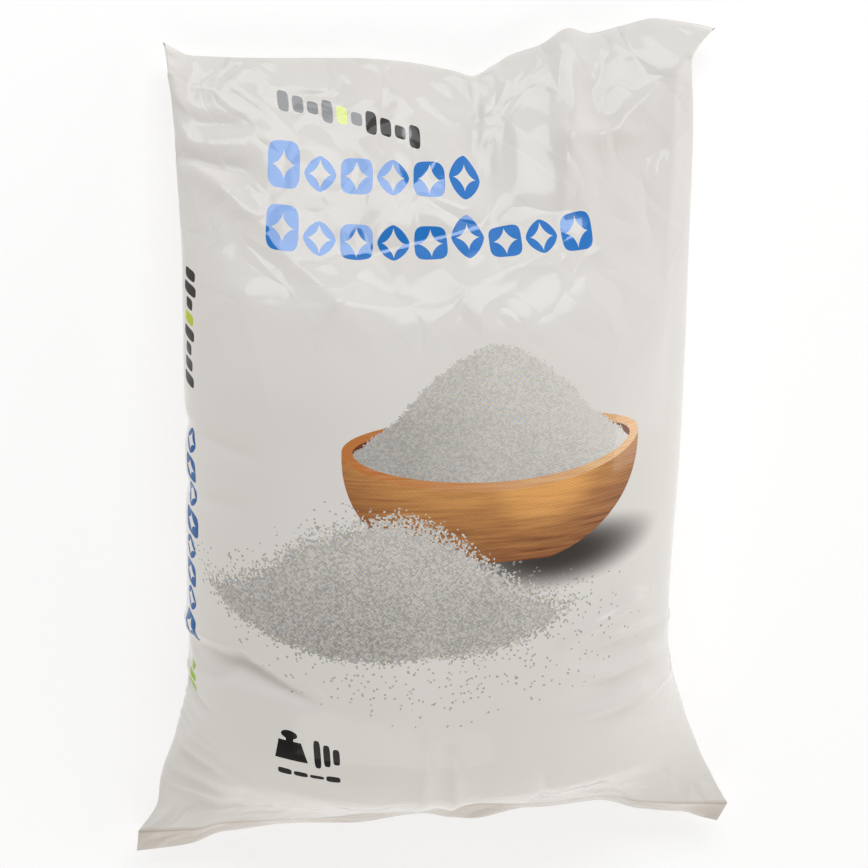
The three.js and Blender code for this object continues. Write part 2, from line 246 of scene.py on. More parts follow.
# Rows of bars: start, pitch, how many, middle line, half height, half width as a share of the pitch.
FRONT_BARS = (-52.8, 4.55, 10, 234.5, 3.0, 0.38)
FRONT_BARS_FALL = (-30.0, 0.2)  # where the row crosses its middle line, and how fast it falls to the right
SIDE_BARS = (146.0, 4.6, 8, SIDE_LINE, 3.2, 0.38)
SIDE_LEAVES = (53.5, 3.0, 3, SIDE_LINE, 2.6, 0.38)
WEIGHT_BARS = (-39.0, 2.75, 3, 51.2, 5.2, 0.36)
WEIGHT_RULE = (-50.2, 4.8, 4, 41.9, 1.3, 0.43)
BAR_POWER = 4.0
BAR_STEPS = (3, 0.22)  # each of three bars is shorter than the one before it
LIME_BAR = 4  # the number of the bar that is lime, from 0

WEIGHT_FOOT = (-45.5, 47.3)
WEIGHT_BODY = (4.9, 0.22, 7.2)  # half width at the foot, how fast it narrows, height
WEIGHT_NECK = (1.1, 7.0, 8.4)  # half width, lower end, upper end
WEIGHT_KNOB = (9.4, 2.4, 1.5)  # middle, half width, half height

# Noises: how many to a millimetre, detail, roughness.
MOTTLE = (0.03, 1.0)
RAGGED = (0.5, 2.0, 0.75)
CLOUDS = (0.05, 1.0)
WOOD_RINGS = (1.0, 3.0, 0.6)
WOOD_STRETCH = (0.05, 0.9)
WARPS = (0.04, 1.0)
RIDGES = (0.045, 2.0, 0.45)
PEBBLES = (0.5, 1.0)
FACETS_PER_MM = 0.05

WRINKLED_BY_END = (6.0, 50.0)  # how far from a seal the film is fully wrinkled, and from where it is tight
WRINKLED_BY_SIDE = (3.0, 24.0)  # the same from the bag's side
FREE_OF_FILL = (150.0, 195.0)  # where the fill starts to end, and where it has ended
LEAST_LOOSE = 0.1
WARP = (34.0, -26.0)  # how far the wrinkles are bent, across and along
RIDGE_DEPTH = 1.7
FACET_HEIGHT = 1.1
WARP_HEIGHT = 0.35
PEBBLE_HEIGHT = 0.018
# The painted shadow line in the crease at the bottom seal's root, which darkens the film's colour there.
SEAL_ROOT_SHADOW = (0.2, 1.3)  # half its width at the seal's root, where it is dark and where it has faded
FILM_ROUGHNESS = 0.06  # at its least, and as much again at its most

# ---- Stage, in metres --------------------------------------------------------------------------------------

BAG_CENTRE = Vector((0, 0, 0.03))
CAMERA_TARGET = Vector((0, 0, 30)) * MM - Vector(MIDDLE) * MM
CAMERA_TURN = (9.0, 10.0)  # degrees to the left, and to the bag's top
CAMERA_DISTANCE = 0.8
VIEW_WIDTH = 0.25172  # what the picture spans at that distance
SENSOR_WIDTH = 36.0  # in millimetres
CLIP_START = 0.01
WALL_COLOUR = (1, 0.985, 0.96, 1)
WALL_GLOW = 0.68  # how much more the walls glow than the ceiling does
CEILING_GLOW = 0.3
TOP_SHADE = 0.2  # how much darker the room is past the bag's top, and brighter past its bottom
LEFT_SHADE = 0.22  # how much darker it is on the bag's left, and brighter on its right
FLOOR_SIZE = 6.0
FLOOR_COLOUR = (0.56, 0.56, 0.56, 1)
FLOOR_GLOW = 0.54
# Name, degrees to the left and to the bag's top, distance, width, height, brightness, colour.
SOFTBOXES = (
    ("top_softbox", -5.0, 50.0, 1.2, 0.8, 0.4, 5.0, (0.93, 0.96, 1)),
    ("right_softbox", -68.0, 2.0, 1.3, 0.4, 0.9, 0.9, (1, 1, 1)),
    ("front_softbox", 8.0, -50.0, 1.3, 0.9, 0.4, 1.5, (1, 0.96, 0.92)),
)


def between(low, high, value):
    """A smooth step from 0 at low to 1 at high."""
    share = np.clip((value - low) / (high - low), 0, 1)
    return share * share * (3 - 2 * share)


def rail(points, at):
    """A smooth curve through a rail's points that never overshoots them."""
    places, heights = np.array(points, float).T
    widths = np.diff(places)
    slopes = np.diff(heights) / widths
    tangents = np.concatenate([slopes[:1], np.zeros(len(slopes) - 1), slopes[-1:]])
    for i in range(1, len(slopes)):
        before, after = slopes[i - 1], slopes[i]
        if before * after > 0:
            tangents[i] = (widths[i - 1] + widths[i]) / (widths[i - 1] / before + widths[i] / after)
    i = np.clip(np.searchsorted(places, at) - 1, 0, len(widths) - 1)
    t = np.clip((at - places[i]) / widths[i], 0, 1)
    start = (2 * t**3 - 3 * t**2 + 1) * heights[i] + (t**3 - 2 * t**2 + t) * widths[i] * tangents[i]
    end = (3 * t**2 - 2 * t**3) * heights[i + 1] + (t**3 - t**2) * widths[i] * tangents[i + 1]
    return start + end


def rest_on_floor(z):
    """The height over the floor, exactly zero where the bag lies flat on it."""
    share = np.clip(0.5 + 0.5 * z / FLOOR_BLEND, 0, 1)
    return z * share + FLOOR_BLEND * share * (1 - share)


def across_share(angle):
    """Where an angle across the bag lies, from -1 on the left side to 1 on the right side."""
    return np.sign(angle) * np.abs(np.sin(angle)) ** (2 / SIDE_ROUNDNESS)


def pillow(angle, along, front):
    """Points of the smooth pillow. angle runs from the left side over the middle to the right side."""
    across = across_share(angle)
    cosine = np.maximum(np.cos(angle), 0)
    power = rail(EDGE_POWER, along) * (1 if front else BACK_BOXINESS)
    left, right = rail(LEFT_X, along), rail(RIGHT_X, along)
    end_y = rail(CROWN_Y if front else BACK_Y, along)
    end_z = rail(CROWN_Z if front else BACK_Z, along)
    side_y, side_z = rail(SIDE_Y, along), rail(SIDE_Z, along)
    top_wave = between(1 - TOP_EDGE_REACH, 1, along) * rail(TOP_EDGE, across)
    bottom_wave = (1 - between(0, BOTTOM_EDGE_REACH, along)) * rail(BOTTOM_EDGE, across)
    half_thickness = SEAL_THICKNESS / 2 * cosine**SEAL_SPREAD
    x = (left + right) / 2 + (right - left) / 2 * across
    y = side_y + (end_y - side_y) * cosine ** np.maximum(power, 1) + top_wave + bottom_wave
    z = side_z + (end_z - side_z) * cosine**power + (half_thickness if front else -half_thickness)
    return np.stack([x, y, z if front else rest_on_floor(z)], -1)


def fold_height(x, y):
    """How far all the folds together lift the film at a place seen from above."""
    height = np.zeros_like(x)
    for root, tip, lift, left_width, right_width in FOLDS:
        run = np.array(tip, float) - root
        length = np.hypot(*run)
        along = ((x - root[0]) * run[0] + (y - root[1]) * run[1]) / length
        beside = ((y - root[1]) * run[0] - (x - root[0]) * run[1]) / length
        share = np.clip(along / length, 0, 1)
        distance = np.sqrt(beside**2 + (along - share * length) ** 2 + CREST**2) - CREST
        width = np.where(beside > 0, left_width, right_width) * (1 - FOLD_TAPER * share)
        height += lift * (1 - share) * np.exp(-distance / width)
    return height


def outward(angle, along, front):
    """The direction straight out of the pillow."""
    step = NORMAL_STEP
    limit = math.pi / 2 - 2 * step
    middle = np.clip(angle, -limit, limit)
    right = pillow(middle + step, along, front) - pillow(middle - step, along, front)
    higher, lower = np.minimum(along + step, 1), np.maximum(along - step, 0)
    up = pillow(middle, higher, front) - pillow(middle, lower, front)
    normal = np.cross(right, up)
    normal /= np.linalg.norm(normal, axis=-1, keepdims=True)
    return normal if front else -normal


def even_angles(along, front, count):
    """The angles that split one row of the film into equal lengths, from the left side to the right side."""
    angles = np.linspace(-math.pi / 2, math.pi / 2, ROW_SAMPLES)
    points = pillow(angles, np.full_like(angles, along), front)
    travelled = np.concatenate([[0], np.cumsum(np.linalg.norm(np.diff(points, axis=0), axis=1))])
    return np.interp(np.linspace(0, travelled[-1], count + 1), travelled, angles)


def seal_rows(root, across, direction, length, reach, flare, count):
    """The rows of a flat seal, from its root out to its cut edge."""
    corner = between(CORNER_START, 1, across) * flare[1] - between(CORNER_START, 1, -across) * flare[0]
    ripple = SEAL_WAVE_HEIGHT * np.sin(math.pi * SEAL_WAVE_COUNT * across)
    out = rail(reach, across)
    droop = np.sqrt(length**2 - out**2) - ripple
    return [
        root + np.stack([corner * share**CORNER_CURL, direction * out * share, -droop * share], -1)
        for share in np.arange(1, count + 1) / count
    ]


class FilmGrid:
    """The film round the pillow on one grid.

    A row starts at the middle of the back and runs up the left side, over the front and down the right side.
    The rows run from the bottom seal's cut edge to the top seal's.
    """

    def __init__(self, step):
        columns, body_rows, self.seal_rows = COLUMNS // step, BODY_ROWS // step, SEAL_ROWS // step
        half, quarter = columns // 2, columns // 4
        smooth = np.zeros((body_rows + 1, columns, 3))
        normals = np.zeros_like(smooth)
        lift = np.zeros((body_rows + 1, columns))
        across = np.zeros((body_rows + 1, columns))
        for row in range(body_rows + 1):
            share = row / body_rows
            back_angles = even_angles(share, False, half)[::-1]
            for front, angles, ring in (
                (True, even_angles(share, True, half), np.arange(quarter, quarter + half + 1)),
                (False, back_angles[1:-1], np.arange(quarter + half + 1, quarter + columns) % columns),
            ):
                along = np.full_like(angles, share)
                skin = pillow(angles, along, front)
                fade = 1 if front else 1 - between(0, FOLD_BACK_FADE, math.pi / 2 - np.abs(angles))
                smooth[row, ring] = skin
                normals[row, ring] = outward(angles, along, front)
                lift[row, ring] = fade * fold_height(skin[:, 0], skin[:, 1])
                across[row, ring] = across_share(angles)
        self.smooth = self.with_seals(smooth, across)
        self.folded = self.with_seals(smooth + normals * lift[..., None], across)
        bottom, top = (np.repeat(end, self.seal_rows, 0) for end in (normals[:1], normals[-1:]))
        self.normals = np.concatenate([bottom, normals, top])
        # On a seal the film's other layer lies at the mirrored place of its row.
        self.other_layer = (half - np.arange(columns)) % columns
        self.across = (np.arange(columns) - half) / columns * FILM_ROUND
        self.share = (np.arange(len(self.smooth)) - self.seal_rows) / body_rows

    def with_seals(self, body, across):
        """The rows between the seals, with the rows of both seals added."""
        count = self.seal_rows
        bottom = seal_rows(
            body[0], across[0], -1, BOTTOM_SEAL_LENGTH, BOTTOM_SEAL_REACH, BOTTOM_CORNER_FLARE, count
        )
        top = seal_rows(body[-1], across[-1], 1, TOP_SEAL_LENGTH, TOP_SEAL_REACH, TOP_CORNER_FLARE, count)
        return np.concatenate([bottom[::-1], body, top])


def flat_lengths(grid):
    """The film's own lengths between neighbouring points: round the bag, along it and on both diagonals."""
    smooth = grid.smooth
    slack_along = np.full(smooth.shape[:2], SLACK_EVERYWHERE)
    slack_across = slack_along.copy()
    for (x, y), (radius_x, radius_y), along, across in SLACK:
        weight = np.exp(-(((smooth[..., 0] - x) / radius_x) ** 2) - ((smooth[..., 1] - y) / radius_y) ** 2)
        slack_along += along * weight
        slack_across += across * weight
    slack_both = (slack_along + slack_across) / 2
    beside = np.roll(smooth, -1, 1)
    before = np.roll(smooth, 1, 1)
    return (
        np.linalg.norm(beside - smooth, axis=-1) * (1 + slack_across),
        np.linalg.norm(smooth[1:] - smooth[:-1], axis=-1) * (1 + slack_along[:-1]),
        np.linalg.norm(beside[1:] - smooth[:-1], axis=-1) * (1 + slack_both[:-1]),
        np.linalg.norm(before[1:] - smooth[:-1], axis=-1) * (1 + slack_both[:-1]),
    )


def pull(first, second, length, stiffness):
    """How far the first of each two points moves to bring the thread between them nearer to its length."""
    gap = second - first
    now = np.linalg.norm(gap, axis=-1)
    share = np.where(now > length, *stiffness)
    return gap * (0.5 * share * (now - length) / np.maximum(now, SHORTEST))[..., None]


def relax(points, grid, rounds, spread):
    """Lets the film find its own folds on one grid."""
    round_length, along_length, right_diagonal, left_diagonal = flat_lengths(grid)
    rows, columns = points.shape[:2]
    free = between(FILL_START, FILL_END, grid.share)[:, None] * np.ones((1, columns))
    on_back = np.cos(2 * math.pi * grid.across / FILM_ROUND) < BACK_LIMIT
    held = 1 - between(0, SEAL_HOLD, np.minimum(grid.share, 1 - grid.share))[:, None]
    front_cling = CLING + (FREE_CLING - CLING) * free
    front_cling += (SEAL_CLING - front_cling) * held
    cling = np.where(on_back[None, :], BACK_CLING, front_cling)[..., None]
    lowest = -FILL_GIVE - (FREE_GIVE - FILL_GIVE) * free
    seals = (slice(0, grid.seal_rows + 1), slice(rows - 1 - grid.seal_rows, rows))
    for _ in range(rounds):
        points += cling * (grid.folded - points)
        for start in (0, 1):
            ring = np.arange(start, columns, 2)
            beside = (ring + 1) % columns
            move = pull(points[:, ring], points[:, beside], round_length[:, ring], THREAD_STIFFNESS)
            points[:, ring] += move
            points[:, beside] -= move
        for start in (0, 1):
            count = (rows - start) // 2
            low, high = points[start::2][:count], points[start + 1 :: 2][:count]
            move = pull(low, high, along_length[start::2][:count], THREAD_STIFFNESS)
            low += move
            high -= move
            for turn, diagonal in ((-1, right_diagonal), (1, left_diagonal)):
                slanted = np.roll(high, turn, 1)
                move = pull(low, slanted, diagonal[start::2][:count], DIAGONAL_STIFFNESS)
                low += move
                high -= np.roll(move, -turn, 1)
        bulge = points - grid.folded
        rounder = (np.roll(bulge, 1, 1) + np.roll(bulge, -1, 1)) / 2 - bulge
        rounder[1:-1] += (bulge[2:] + bulge[:-2]) / 2 - bulge[1:-1]
        points += spread * rounder
        off = ((points - grid.folded) * grid.normals).sum(-1)
        points += grid.normals * (np.clip(off, lowest, MOST_LIFT) - off)[..., None]
        np.maximum(points[..., 2], 0, out=points[..., 2])
        for seal in seals:
            layers = points[seal]
            apart = grid.folded[seal] - grid.folded[seal][:, grid.other_layer]
            points[seal] = (layers + layers[:, grid.other_layer] + apart) / 2
    return points


def finer(grid):
    """The same grid with a point put in midway between each two, both round the bag and along it."""
    rows, columns, depth = grid.shape
    wide = np.empty((rows, columns * 2, depth))
    wide[:, 0::2] = grid
    wide[:, 1::2] = (9 * (grid + np.roll(grid, -1, 1)) - np.roll(grid, 1, 1) - np.roll(grid, -2, 1)) / 16
    fine = np.empty((rows * 2 - 1, columns * 2, depth))
    fine[0::2] = wide
    fine[1::2] = (wide[:-1] + wide[1:]) / 2
    fine[3:-3:2] = (9 * (wide[1:-2] + wide[2:-1]) - wide[:-3] - wide[3:]) / 16
    return fine


def first_ripple(grid):
    """The faint unevenness in the film that its folds start from."""
    ripple = np.random.default_rng(SEED).normal(size=grid.smooth.shape[:2])
    for _ in range(RIPPLE_ROUNDS):
        beside = np.roll(ripple, 1, 1) + np.roll(ripple, -1, 1)
        around = beside + np.roll(ripple, 1, 0) + np.roll(ripple, -1, 0)
        ripple = (ripple + around) / 5
    return grid.normals * (FIRST_RIPPLE * ripple)[..., None]


def relaxed_film():
    """The film's points after all passes, and the grid that they belong to."""
    bulge = None
    for step, rounds, spread in PASSES:
        grid = FilmGrid(step)
        bulge = first_ripple(grid) if bulge is None else finer(bulge)
        bulge = relax(grid.folded + bulge, grid, rounds, spread) - grid.folded
    return grid.folded + bulge, grid


def make_film():
    """The film as one closed mesh, with its place on the flat sheet as its UV map."""
    points, grid = relaxed_film()
    rows, columns = points.shape[:2]
    # At the cut edges the two layers are welded.
    for edge in (0, -1):
        points[edge] = (points[edge] + points[edge][grid.other_layer]) / 2
    # The back's long seam laps over, so the film beside it stands off the floor.
    from_seam = np.abs(np.abs(grid.across) - FILM_ROUND / 2)
    beside_seam = between(LAP_WIDTH / 2, LAP_WIDTH / 2 + LAP_EDGE, from_seam)
    near_floor = 1 - between(0, FLOOR_BLEND, points[..., 2])
    points[..., 2] += LAP_THICKNESS * beside_seam * near_floor
    points = (points - MIDDLE) * MM

    bpy.ops.object.select_all(action="DESELECT")
    bpy.ops.mesh.primitive_grid_add(x_subdivisions=columns, y_subdivisions=rows - 1, size=2)
    film = bpy.context.object
    film.name = "film"
    mesh = film.data
    flat = np.empty(len(mesh.vertices) * 3)
    mesh.vertices.foreach_get("co", flat)
    flat = flat.reshape(-1, 3)
    column = np.rint((flat[:, 0] + 1) / 2 * columns).astype(int)
    row = np.rint((flat[:, 1] + 1) / 2 * (rows - 1)).astype(int)
    mesh.vertices.foreach_set("co", points[row, column % columns].ravel())

    stops = (0, grid.seal_rows, rows - 1 - grid.seal_rows, rows - 1)
    lengths = (0, BOTTOM_SEAL_LENGTH, BOTTOM_SEAL_LENGTH + FILM_LENGTH, SHEET_LENGTH)
    height = np.interp(np.arange(rows), stops, lengths) / SHEET_LENGTH
    corners = np.empty(len(mesh.loops), int)
    mesh.loops.foreach_get("vertex_index", corners)
    places = np.stack([column[corners] / columns, height[row[corners]]], -1)
    mesh.uv_layers[0].name = SHEET_MAP
    mesh.uv_layers[0].data.foreach_set("uv", places.ravel())

    # The sheet's long edges meet at the middle of the back, and each seal's layers at its cut edge.
    bpy.ops.object.mode_set(mode="EDIT")
    bpy.ops.mesh.select_all(action="SELECT")
    bpy.ops.mesh.remove_doubles(threshold=WELD_DISTANCE)
    bpy.ops.mesh.normals_make_consistent(inside=False)
    bpy.ops.object.mode_set(mode="OBJECT")
    bpy.ops.object.shade_smooth_by_angle(angle=CUT_EDGE_ANGLE)
    return film


# ---- Finishes ----------------------------------------------------------------------------------------------


class Reading:
    """A number or colour that a shader node gives, which works in Python expressions."""

    def __init__(self, finish, socket):
        self.finish, self.socket = finish, socket

    def math(self, operation, *values):
        return self.finish.node("ShaderNodeMath", {"operation": operation}, dict(enumerate(values)))

    def __add__(self, other):
        return self.math("ADD", self, other)

    def __sub__(self, other):
        return self.math("SUBTRACT", self, other)

    def __rsub__(self, other):
        return self.math("SUBTRACT", other, self)

    def __mul__(self, other):
        return self.math("MULTIPLY", self, other)

    def __truediv__(self, other):
        return self.math("DIVIDE", self, other)

    def __pow__(self, other):
        return self.math("POWER", self, other)

    def __mod__(self, other):
        return self.math("FLOORED_MODULO", self, other)

    def __gt__(self, other):
        return self.math("GREATER_THAN", self, other)

    def __lt__(self, other):
        return self.math("LESS_THAN", self, other)

    def __abs__(self):
        return self.math("ABSOLUTE", self)

    __radd__ = __add__
    __rmul__ = __mul__

    def floor(self):
        return self.math("FLOOR", self)

    def sine(self):
        return self.math("SINE", self)

    def root(self):
        return self.math("SQRT", self)

    def at_least(self, other):
        return self.math("MAXIMUM", self, other)

    def at_most(self, other):
        return self.math("MINIMUM", self, other)

    def step(self, low, high):
        """A smooth step from 0 at low to 1 at high."""
        settings = {"interpolation_type": "SMOOTHSTEP"}
        return self.finish.node("ShaderNodeMapRange", settings, {"Value": self, 1: low, 2: high})


class Finish:
    """The nodes of a material, or of the world, in the making."""

    def __init__(self, owner):
        self.owner = owner
        owner.use_nodes = True
        self.tree = owner.node_tree
        self.tree.nodes.clear()

    def node(self, kind, settings=None, inputs=None, output=0):
        """Adds a node: its type, its settings, and then the values or links of its sockets."""
        made = self.tree.nodes.new(kind)
        for name, value in (settings or {}).items():
            setattr(made, name, value)
        for name, value in (inputs or {}).items():
            if isinstance(value, Reading):
                self.tree.links.new(value.socket, made.inputs[name])
            else:
                made.inputs[name].default_value = value
        return Reading(self, made.outputs[output]) if made.outputs else None

    def blend(self, share, low, high):
        """A colour that goes from low to high."""
        sockets = {0: share, 6: low, 7: high}
        return self.node("ShaderNodeMix", {"data_type": "RGBA", "clamp_factor": True}, sockets, 2)

    def tint(self, base, by):
        """A colour times another."""
        sockets = {0: 1.0, 6: base, 7: by}
        return self.node("ShaderNodeMix", {"data_type": "RGBA", "blend_type": "MULTIPLY"}, sockets, 2)

    def join(self, red, green, blue):
        """A colour from its three channels."""
        return self.node("ShaderNodeCombineColor", None, {0: red, 1: green, 2: blue})

    def channel(self, base, index):
        """One channel of a colour, from 0 to 2."""
        return self.node("ShaderNodeSeparateColor", None, {0: base}, index)

    def place(self, x, y):
        """A place on the flat sheet."""
        return self.node("ShaderNodeCombineXYZ", None, {0: x, 1: y, 2: 0.0})

    def axis(self, place, index):
        """One axis of a place, from 0 to 2."""
        return self.node("ShaderNodeSeparateXYZ", None, {0: place}, index)

    def noise(self, place, scale, detail=2.0, roughness=0.5):
        """Clouds of that many to a millimetre."""
        sockets = {"Vector": place, "Scale": scale, "Detail": detail, "Roughness": roughness}
        return self.node("ShaderNodeTexNoise", {"noise_dimensions": "2D"}, sockets)

    def cells(self, place, scale, settings=None, output="Distance"):
        """Cells of that many to a millimetre: how far each place is from its cell's middle."""
        settings = {"voronoi_dimensions": "2D", **(settings or {})}
        return self.node("ShaderNodeTexVoronoi", settings, {"Vector": place, "Scale": scale}, output)

    def bump(self, height, distance):
        """The way that a relief faces. Its height is in units of the distance."""
        sockets = {"Strength": 1.0, "Distance": distance, "Height": height}
        return self.node("ShaderNodeBump", None, sockets)

    def surface(self, **sockets):
        """Ends the material with its shader, whose sockets are named with underscores for their blanks."""
        values = {name.replace("_", " "): value for name, value in sockets.items()}
        shader = self.node("ShaderNodeBsdfPrincipled", None, values)
        self.node("ShaderNodeOutputMaterial", None, {"Surface": shader})
        return self.owner


def colour(red, green, blue):
    """A colour of the usual 0 to 255 kind, as the shaders want it."""
    shares = [channel / 255 for channel in (red, green, blue)]
    return (*[c / 12.92 if c <= 0.04045 else ((c + 0.055) / 1.055) ** 2.4 for c in shares], 1.0)


FILM_WHITES = colour(230, 226, 221), colour(235, 232, 228)
# Painted shade: the warm, darker tone of the bottom seal where it lies in shade under the bag, and of the
# shadow line at its root.
SEAL_SHADE_TINT = colour(190, 176, 160)
TABLE_SHADE = colour(50, 43, 38)
WOOD_TONES = colour(238, 172, 96), colour(112, 46, 12)
RIM_TONES = colour(200, 122, 56), colour(246, 202, 150)
INSIDE_WOOD = colour(116, 52, 18)
SUGAR_TONES = colour(156, 153, 149), colour(224, 220, 214)
GRAIN_GREY = colour(160, 156, 150)
TILE_BLUE = colour(0, 119, 205)
BAR_TONES = colour(38, 36, 35), colour(206, 218, 40)
WEIGHT_BLACK = colour(20, 17, 15)
SIDE_BAR_TONES = colour(58, 52, 48), colour(190, 205, 50)
SIDE_TILE_BLUE = colour(16, 92, 160)
LEAF_GREEN = colour(158, 196, 52)


def superellipse(x, y, half_width, half_height, power):
    """Under 1 inside a shape between a diamond (power 1), an ellipse (2) and a rounded box (4 and more)."""
    return (abs(x) / half_width) ** power + (abs(y) / half_height) ** power


def ellipse(x, y, middle_x, middle_y, radius_x, radius_y):
    """The same for an ellipse that has its middle somewhere else."""
    return superellipse(x - middle_x, y - middle_y, radius_x, radius_y, 2.0)


def tile_row(row, along, beside, count, middle):
    """A row of solid tiles, each with a four-pointed sparkle left open in its middle."""
    start, pitch, half_height, tall_every, tall_by = row
    run = along - start
    cell = (run / pitch).floor()
    tall = (cell % tall_every) < 0.5
    x = run % pitch - pitch / 2
    y = beside - middle - tall * (tall_by / 2)
    power = SQUARE_TILE - (cell % 2) * (SQUARE_TILE - POINTED_TILE)
    shape = superellipse(x, y, pitch * TILE_WIDTH, tall * (tall_by / 2) + half_height, power) < 1
    sparkle_width, sparkle_height = (pitch * size for size in SPARKLE_SIZE)
    sparkle = superellipse(x, y, sparkle_width, sparkle_height, SPARKLE_POWER) < 1
    return shape * (1 - sparkle) * (run > 0) * ((count * pitch - run) > 0)


def bar_row(row, along, beside):
    """A row of small solid bars, and the number of the bar at each place."""
    start, pitch, count, middle, half_height, half_width = row
    run = along - start
    cell = (run / pitch).floor()
    steps, shorter = BAR_STEPS
    height = half_height * (1 - ((cell % steps) * shorter))
    shape = superellipse(run % pitch - pitch / 2, beside - middle, pitch * half_width, height, BAR_POWER) < 1
    return shape * (run > 0) * (run < pitch * count), cell


def bar_colour(finish, cell, tones):
    """The bars' colour, and the lime of the one bar that has its own."""
    return finish.blend(abs(cell - LIME_BAR) < 0.5, *tones)


def bowl_print(finish, base, x, y):
    """The bowl and its shadow, seen from the middle of its rim: its front, its rim and the hollow in it."""
    shade = 1 - ellipse(x, y, *BOWL_SHADOW).step(0.0, 1.0)
    base = finish.blend(shade * 0.97, base, TABLE_SHADE)
    depth = y / -BOWL_DEPTH
    around = abs(x) / BOWL_RADIUS
    round_below = around**BOWL_ROUNDNESS + depth.at_least(0) ** BOWL_ROUNDNESS
    body = (round_below < 1) * (y < 0) * (depth < BOWL_FOOT)
    rings = finish.noise(finish.place(x * WOOD_STRETCH[0], y * WOOD_STRETCH[1]), *WOOD_RINGS) - 0.5
    gloss = 1 - ellipse(x, y, *BOWL_GLOSS).step(0.0, 1.0)
    wood = depth * 0.8 + around**3 * 0.4 + rings * 0.7 - gloss * 0.4 + 0.05
    base = finish.blend(body, base, finish.blend(wood, *WOOD_TONES))
    rim = superellipse(x, y, BOWL_RADIUS, RIM_HEIGHT, 2.0) < 1
    base = finish.blend(rim, base, finish.blend(rings + 0.4 + x / 90, *RIM_TONES))
    inside = superellipse(x, y, BOWL_RADIUS - RIM_WIDTH[0], RIM_HEIGHT - RIM_WIDTH[1], 2.0) < 1
    return finish.blend(inside, base, INSIDE_WOOD), shade, body, rim, inside


def heap_of_sugar(x, y, inside, ragged, cloud, luck):
    """The heap in the bowl: straight slopes with a round top."""
    x = x + cloud * HEAP_SWAY
    peak = HEAP_HEIGHT - ((x * x + HEAP_ROUND**2).root() - HEAP_ROUND) * HEAP_SLOPE
    rough = ragged * HEAP_ROUGH[0] + (luck - 0.5) * HEAP_ROUGH[1]
    return (peak - y + rough > 0) * ((y > 0).at_least(inside))


def spilt_sugar(s, t, cloud):
    """The spilt pile: its back rises like a bell, and its front is half an ellipse. Above 0 inside it."""
    x = (s - SPILL_MIDDLE[0] + cloud * SPILL_SWAY[0]) / SPILL_RADIUS
    y = t - SPILL_MIDDLE[1] - cloud * SPILL_SWAY[1]
    room = 1 - x * x
    bell = room.at_least(0) * room.at_least(0)
    front = (y / -SPILL_DEPTH).at_least(0)
    return (bell - y / SPILL_HEIGHT).at_most(room - front * front), x, y


def dotted(finish, base, s, t):
    """A colour broken up into printers' dots: blue and orange ones in turns."""
    turn = 2 * math.pi / DOT_PITCH
    across, along = turn * math.cos(DOT_SLANT), turn * math.sin(DOT_SLANT)
    dots = (s * across + t * along).sine() * (t * across - s * along).sine()
    return finish.tint(base, finish.join(*(1 - dots * ink for ink in DOT_INKS)))


def picture_print(finish, base, s, t):
    """A wooden bowl heaped with sugar, with more of it spilt on the table in front. Also gives the wood."""
    place = finish.place(s, t)
    ragged = finish.noise(place, *RAGGED) - 0.5
    cloud = finish.noise(place, *CLOUDS) - 0.5
    grain = finish.cells(place, GRAINS_PER_MM, output="Color")
    speckle, luck = finish.channel(grain, 0), finish.channel(grain, 1)
    x, y = s - BOWL_MIDDLE[0], t - BOWL_MIDDLE[1]
    base, shade, body, rim, inside = bowl_print(finish, base, x, y)

    heap = heap_of_sugar(x, y, inside, ragged, cloud, luck)
    spilt, spill_x, spill_y = spilt_sugar(s, t, cloud)
    spill = (spilt + ragged * SPILL_ROUGH[0] + (luck - 0.5) * SPILL_ROUGH[1]) > SPILL_EDGE
    sugar = heap.at_least(spill)
    middle, right, up = HEAP_LIGHT
    heap_light = x / right + y / up + middle
    middle, right, up, deep = SPILL_LIGHT
    spill_light = spill_x * right + spill_y / up - spilt * deep + middle
    light = heap_light * (1 - spill) + spill_light * spill + cloud * 0.25
    light = light + (speckle - 0.5) * (spill * 0.25 + 0.4)
    base = finish.blend(sugar, base, finish.blend(light, *SUGAR_TONES))

    # Loose grains, thinning out.
    near = 1 - ellipse(s, t, *LOOSE_GRAINS)
    density = (spilt + 0.3).at_least(0) * 0.3 + near.at_least(0) * 0.06
    loose = (luck < density) * (1 - sugar) * (1 - body) * (y < 0)
    base = finish.blend(loose * 0.75, base, GRAIN_GREY)
    painted = sugar.at_least(body).at_least(rim).at_least(shade)
    return finish.blend(painted, base, dotted(finish, base, s, t)), body.at_least(rim)


def weight_print(s, t):
    """A scale weight with a knob, and bars beside and under it."""
    x, y = s - WEIGHT_FOOT[0], t - WEIGHT_FOOT[1]
    half_width, taper, height = WEIGHT_BODY
    body = (abs(x) < (half_width - y * taper)) * (y > 0) * (y < height)
    half_width, lower, upper = WEIGHT_NECK
    neck = (abs(x) < half_width) * (y > lower) * (y < upper)
    middle, half_width, half_height = WEIGHT_KNOB
    knob = superellipse(x, y - middle, half_width, half_height, 2.0) < 1
    bars, _ = bar_row(WEIGHT_BARS, s, t)
    rule, _ = bar_row(WEIGHT_RULE, s, t)
    return body.at_least(neck).at_least(knob).at_least(bars).at_least(rule)


def front_print(finish, base, s, t):
    """Two rows of blue tiles under a row of small bars, and the weight. Also gives where the ink shines."""
    (lower_count, lower_middle), (upper_count, upper_middle) = FRONT_TILE_ROWS
    upper = t > ROWS_MEET
    count = upper * (upper_count - lower_count) + lower_count
    middle = upper * (upper_middle - lower_middle) + lower_middle
    tiles = tile_row(FRONT_TILES, s, t, count, middle)
    base = finish.blend(tiles, base, TILE_BLUE)
    level, fall = FRONT_BARS_FALL
    bars, cell = bar_row(FRONT_BARS, s, t + (s - level) * fall)
    base = finish.blend(bars, base, bar_colour(finish, cell, BAR_TONES))
    return finish.blend(weight_print(s, t), base, WEIGHT_BLACK), tiles.at_least(bars)


